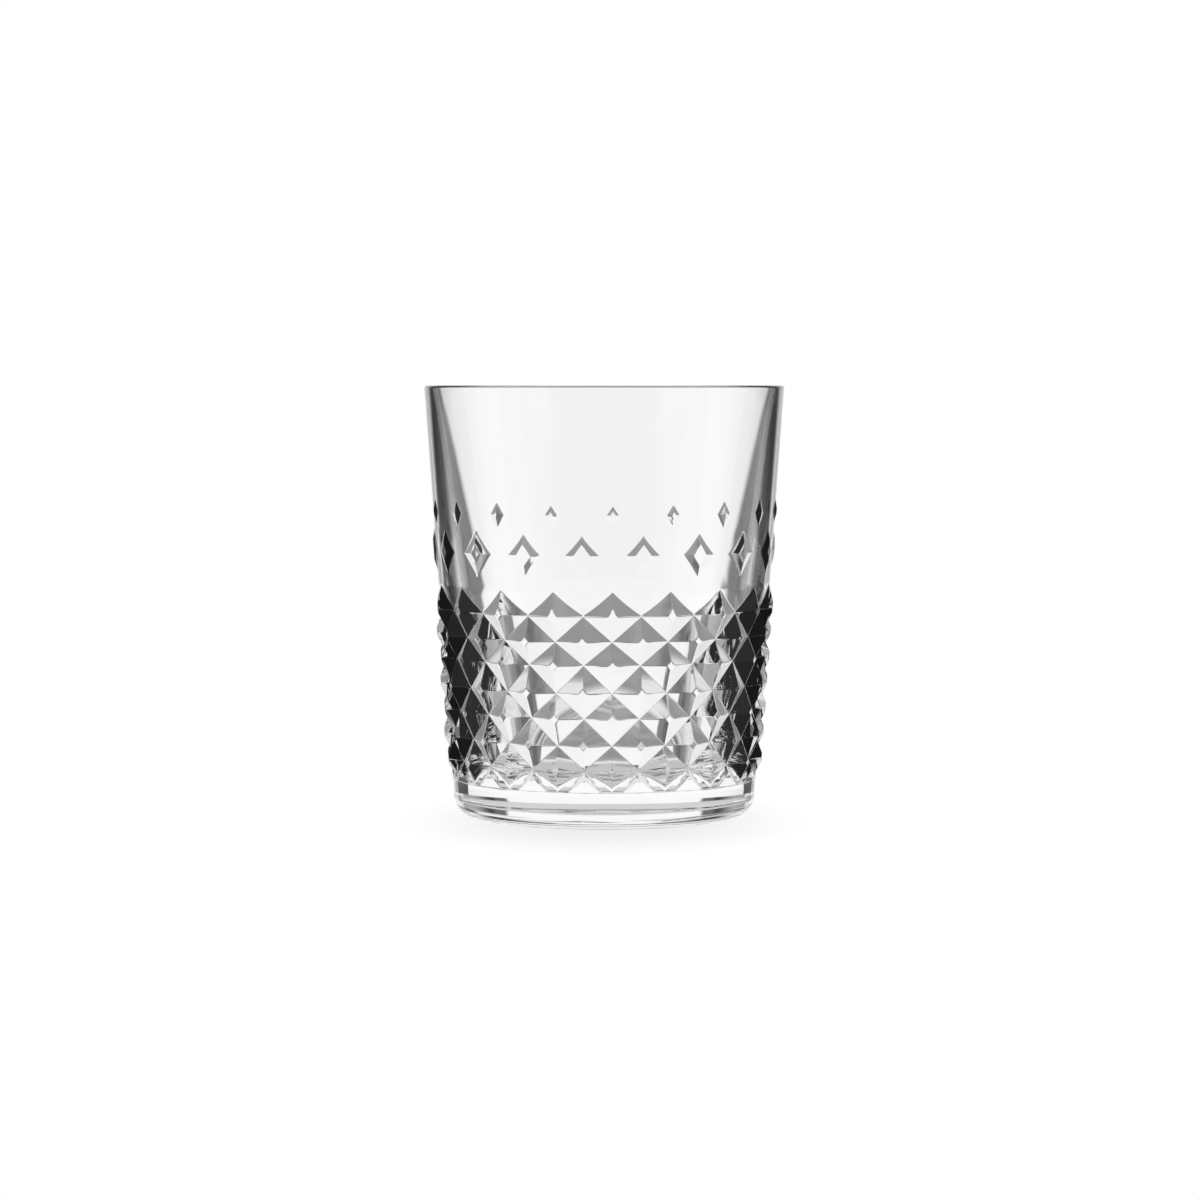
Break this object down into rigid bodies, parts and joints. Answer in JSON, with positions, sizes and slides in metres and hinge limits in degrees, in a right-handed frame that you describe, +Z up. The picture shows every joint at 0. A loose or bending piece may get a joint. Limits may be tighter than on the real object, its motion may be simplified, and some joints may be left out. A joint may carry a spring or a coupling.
{
  "type": "whiskey tumbler",
  "caption": "Clear pressed-glass double old-fashioned tumbler: tapered wall, raised diamond net below a plain upper band, thick solid base.",
  "frame": {"origin": "on the tumbler's axis, at the plane that its standing ring rests on", "axes": "+Z up along the axis, out of the mouth; -Y faces the viewer, with the first diamond column turned 7.3 degrees from it"},
  "size_m": [0.0856, 0.0856, 0.1024],
  "materials": {
    "clear_glass": "fire-polished clear pressed glass"
  },
  "bodies": {
    "root": {"tumbler_glass": "clear_glass"}
  },
  "joints": []
}
